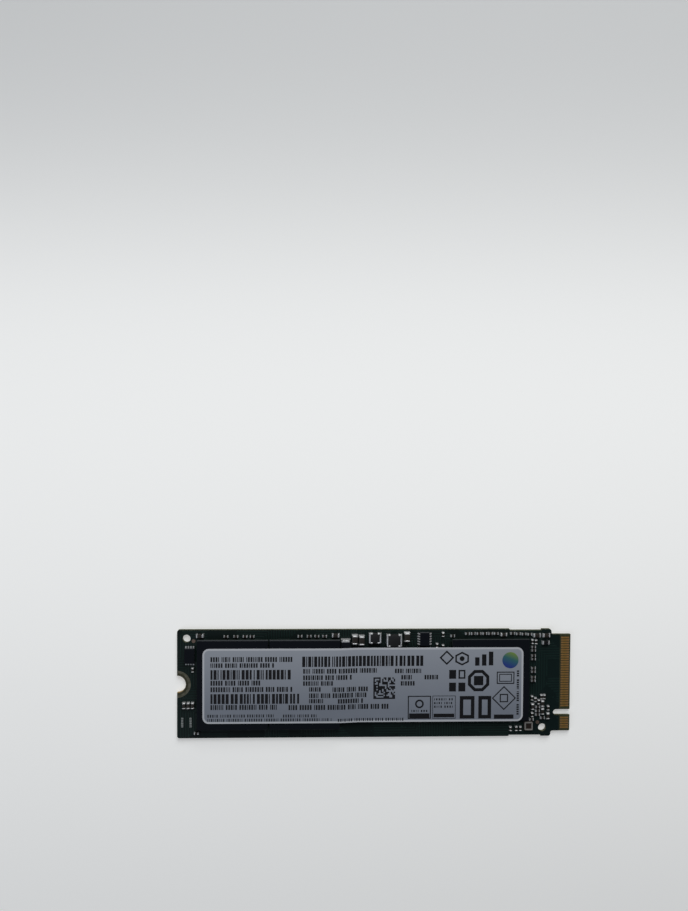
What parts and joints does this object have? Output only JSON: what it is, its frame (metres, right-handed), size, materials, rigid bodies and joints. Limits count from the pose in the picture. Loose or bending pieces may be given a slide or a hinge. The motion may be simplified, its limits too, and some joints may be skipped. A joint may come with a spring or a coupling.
{
  "type": "gumstick solid state drive",
  "caption": "Slim bare-card solid state drive with flash packages, controller and small parts under one thin label, a keyed contact edge at one end and a mounting notch at the other.",
  "frame": {"origin": "middle of the card's footprint, on the bare back face that it lies on", "axes": "+X along the card towards the contact edge, +Y across the card towards the row of small parts above the packages, +Z out of the component face"},
  "size_m": [0.08, 0.022, 0.0023],
  "materials": {
    "board": "dark green solder mask over glass-fibre laminate, semi-gloss",
    "plated_land": "thin gold over nickel and copper, satin",
    "gold_contacts": "gold plate, polished",
    "solder": "tin solder, bright",
    "package_laminate": "resin laminate edge, matt",
    "mould_compound": "black epoxy mould compound, fine matt grain",
    "capacitor_ceramic": "fired ceramic, satin",
    "resistor_glaze": "black glaze over ceramic, satin",
    "ferrite": "pressed ferrite powder, matt",
    "tin_plate": "tin plate wetted with solder, bright",
    "crystal_ceramic": "dark fired ceramic, matt",
    "crystal_lid": "nickel-plated lid, satin",
    "bare_copper": "copper under a thin clear coat, satin",
    "label_film": "silver-grey printed polyester film, satin"
  },
  "bodies": {
    "root": {"circuit_board": "board", "notch_plating": "plated_land", "top_contacts": "gold_contacts", "back_contacts": "gold_contacts", "flash_one_balls": "solder", "flash_one_laminate": "package_laminate", "flash_one_mould": "mould_compound", "flash_two_balls": "solder", "flash_two_laminate": "package_laminate", "flash_two_mould": "mould_compound", "controller_balls": "solder", "controller_laminate": "package_laminate", "controller_mould": "mould_compound", "memory_balls": "solder", "memory_laminate": "package_laminate", "memory_mould": "mould_compound", "notch_end_chip_bodies": "capacitor_ceramic", "notch_end_chip_ends": "tin_plate", "flash_row_chip_bodies": "capacitor_ceramic", "flash_row_chip_ends": "tin_plate", "power_row_chip_bodies": "capacitor_ceramic", "power_row_chip_ends": "tin_plate", "controller_row_chip_bodies": "capacitor_ceramic", "controller_row_chip_ends": "tin_plate", "lane_capacitor_bodies": "capacitor_ceramic", "lane_capacitor_ends": "tin_plate", "host_chip_bodies": "capacitor_ceramic", "host_chip_ends": "tin_plate", "resistor_bodies": "resistor_glaze", "resistor_ends": "tin_plate", "small_coil_bodies": "ferrite", "small_coil_ends": "tin_plate", "large_coil_bodies": "ferrite", "large_coil_ends": "tin_plate", "power_chip_body": "mould_compound", "power_chip_leads": "tin_plate", "config_chip_body": "mould_compound", "config_chip_pads": "tin_plate", "crystal_base": "crystal_ceramic", "crystal_lid": "crystal_lid", "alignment_marks": "bare_copper", "bare_pads": "solder", "label": "label_film"}
  },
  "joints": []
}
